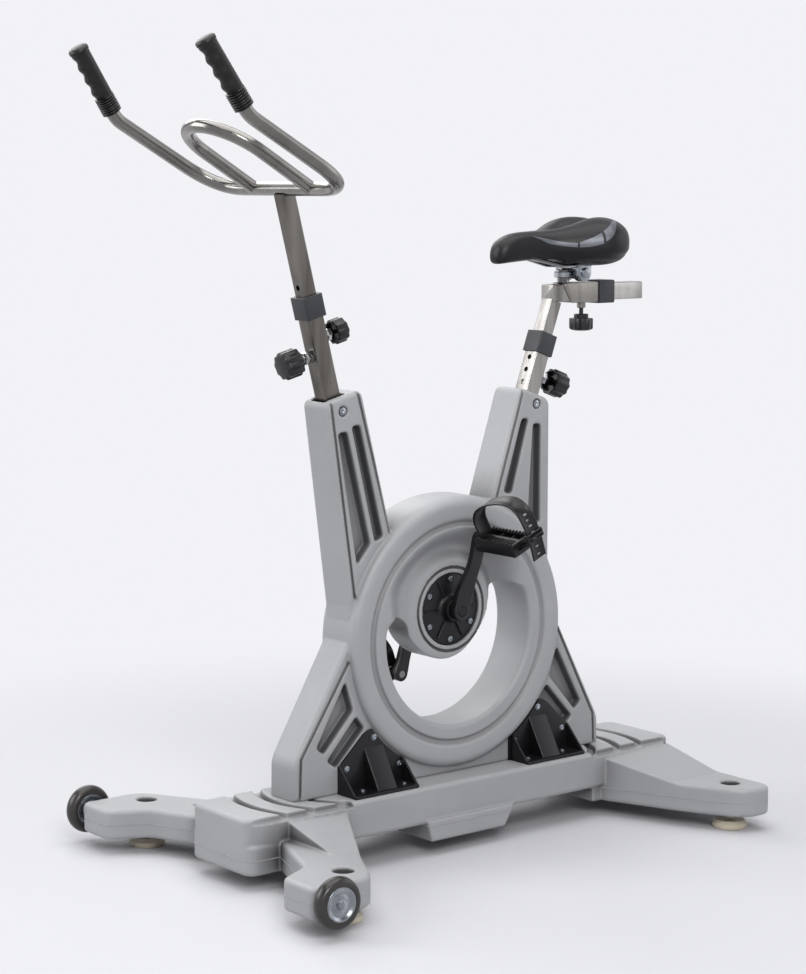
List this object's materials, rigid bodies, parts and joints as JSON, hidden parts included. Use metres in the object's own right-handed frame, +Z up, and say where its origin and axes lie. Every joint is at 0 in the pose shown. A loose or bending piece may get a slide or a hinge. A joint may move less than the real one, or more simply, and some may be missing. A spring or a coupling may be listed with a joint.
{
  "type": "aqua bike",
  "caption": "Pool exercise bike: moulded base and ring body with a crescent opening, square steel posts, looped handlebar, sliding saddle, strapped pedals and transport wheels.",
  "frame": {"origin": "on the floor, below the middle of the whole bike's bounding box", "axes": "+X forward, towards the handlebar; +Y the rider's left; +Z up"},
  "size_m": [1.0696, 0.716, 1.3148],
  "materials": {
    "shell": "satin moulded polyethylene, light cool grey",
    "foot": "ivory rubber pad",
    "tyre": "dark rubber, slightly glossy",
    "zinc": "zinc plated steel",
    "black_plastic": "black moulded plastic",
    "black_metal": "black coated crank",
    "bronze": "plain bronze bearing",
    "chrome": "polished",
    "strap": "black flexible strap",
    "stainless": "brushed stainless steel",
    "collar": "dark charcoal plastic",
    "grip": "black ribbed rubber",
    "saddle_vinyl": "black vinyl over foam"
  },
  "bodies": {
    "frame": {"base": "shell", "body_shell": "shell", "bracket_front_left": "black_plastic", "bracket_front_right": "black_plastic", "bracket_rear_left": "black_plastic", "bracket_rear_right": "black_plastic", "body_bolt_front_left": "zinc", "body_bolt_front_right": "zinc", "body_bolt_rear_left": "zinc", "body_bolt_rear_right": "zinc", "hub_cover_left": "black_plastic", "hub_cover_right": "black_plastic", "bearing_left": "bronze", "bearing_right": "bronze", "wheel_bolt_left": "zinc", "wheel_bolt_right": "zinc", "handlebar_outer_tube": "stainless", "handlebar_collar": "collar", "handlebar_pin_boss": "chrome", "handlebar_clamp_boss": "chrome", "seat_outer_tube": "stainless", "seat_collar": "collar", "seat_pin_boss": "chrome"},
    "crank_drive": {"crank_axle": "zinc", "crank_left": "black_metal", "crank_right": "black_metal", "crank_cap_left": "black_plastic", "crank_cap_right": "black_plastic", "pedal_spindle_left": "chrome", "pedal_spindle_right": "chrome"},
    "left_pedal": {"pedal_left": "black_plastic", "toe_strap_left": "strap"},
    "right_pedal": {"pedal_right": "black_plastic", "toe_strap_right": "strap"},
    "left_wheel": {"tyre_left": "tyre", "wheel_disc_left": "zinc"},
    "right_wheel": {"tyre_right": "tyre", "wheel_disc_right": "zinc"},
    "handlebar_set": {"handlebar_post": "stainless", "handlebar": "stainless", "grip_left": "grip", "grip_right": "grip"},
    "handlebar_pin": {"handlebar_pop_pin": "black_plastic"},
    "handlebar_clamp": {"handlebar_clamp_knob": "black_plastic"},
    "seat_set": {"seat_post": "stainless"},
    "seat_pin": {"seat_pop_pin": "black_plastic"},
    "carriage_set": {"carriage": "stainless", "carriage_collar": "collar", "saddle_pillar": "chrome", "saddle_clamp": "zinc", "saddle_clamp_bolt": "zinc"},
    "carriage_clamp": {"carriage_clamp_knob": "black_plastic"},
    "saddle_set": {"rail_cradle": "zinc", "saddle_rails": "chrome", "saddle": "saddle_vinyl"},
    "front_left_foot": {"foot_front_left": "foot"},
    "front_right_foot": {"foot_front_right": "foot"},
    "rear_left_foot": {"foot_rear_left": "foot"},
    "rear_right_foot": {"foot_rear_right": "foot"}
  },
  "joints": [
    {"name": "crank_spin", "type": "hinge", "parent": "frame", "child": "crank_drive", "pos_m": [-0.06079, 0, 0.394], "axis": [0, 1, 0], "continuous": true},
    {"name": "left_pedal_spin", "type": "hinge", "parent": "crank_drive", "child": "left_pedal", "pos_m": [-0.09524, 0.1235, 0.51416], "axis": [0, 1, 0], "continuous": true},
    {"name": "right_pedal_spin", "type": "hinge", "parent": "crank_drive", "child": "right_pedal", "pos_m": [-0.02633, -0.1235, 0.27384], "axis": [0, 1, 0], "continuous": true},
    {"name": "left_wheel_spin", "type": "hinge", "parent": "frame", "child": "left_wheel", "pos_m": [0.41991, 0.3427, 0.0567], "axis": [0, 1, 0], "continuous": true},
    {"name": "right_wheel_spin", "type": "hinge", "parent": "frame", "child": "right_wheel", "pos_m": [0.41991, -0.3427, 0.0567], "axis": [0, 1, 0], "continuous": true},
    {"name": "handlebar_height", "type": "slide", "parent": "frame", "child": "handlebar_set", "axis": [0.2504, 0, 0.9681], "range_m": [-0.12, 0.055]},
    {"name": "handlebar_pin_pull", "type": "slide", "parent": "frame", "child": "handlebar_pin", "axis": [0.9681, 0, -0.2504], "range_m": [0, 0.008], "stiffness_N_per_m": 600, "springref_m": -0.005},
    {"name": "handlebar_clamp_turn", "type": "hinge", "parent": "frame", "child": "handlebar_clamp", "pos_m": [0.19675, 0, 0.85381], "axis": [-0.9681, 0, 0.2504], "range_deg": [0, 540]},
    {"name": "seat_height", "type": "slide", "parent": "frame", "child": "seat_set", "axis": [-0.3453, 0, 0.9385], "range_m": [-0.04, 0.035]},
    {"name": "seat_pin_pull", "type": "slide", "parent": "frame", "child": "seat_pin", "axis": [-0.9385, 0, -0.3453], "range_m": [0, 0.008], "stiffness_N_per_m": 600, "springref_m": -0.005},
    {"name": "saddle_fore_aft", "type": "slide", "parent": "seat_set", "child": "carriage_set", "axis": [1, 0, 0], "range_m": [-0.068, 0.02]},
    {"name": "carriage_clamp_turn", "type": "hinge", "parent": "carriage_set", "child": "carriage_clamp", "pos_m": [-0.37979, 0, 0.911], "axis": [0, 0, -1], "range_deg": [0, 540]},
    {"name": "saddle_tilt", "type": "hinge", "parent": "carriage_set", "child": "saddle_set", "pos_m": [-0.36079, 0, 0.945], "axis": [0, 1, 0], "range_deg": [-10, 10]},
    {"name": "front_left_foot_height", "type": "slide", "parent": "frame", "child": "front_left_foot", "axis": [0, 0, 1], "range_m": [-0.008, 0.008]},
    {"name": "front_right_foot_height", "type": "slide", "parent": "frame", "child": "front_right_foot", "axis": [0, 0, 1], "range_m": [-0.008, 0.008]},
    {"name": "rear_left_foot_height", "type": "slide", "parent": "frame", "child": "rear_left_foot", "axis": [0, 0, 1], "range_m": [-0.008, 0.008]},
    {"name": "rear_right_foot_height", "type": "slide", "parent": "frame", "child": "rear_right_foot", "axis": [0, 0, 1], "range_m": [-0.008, 0.008]}
  ]
}
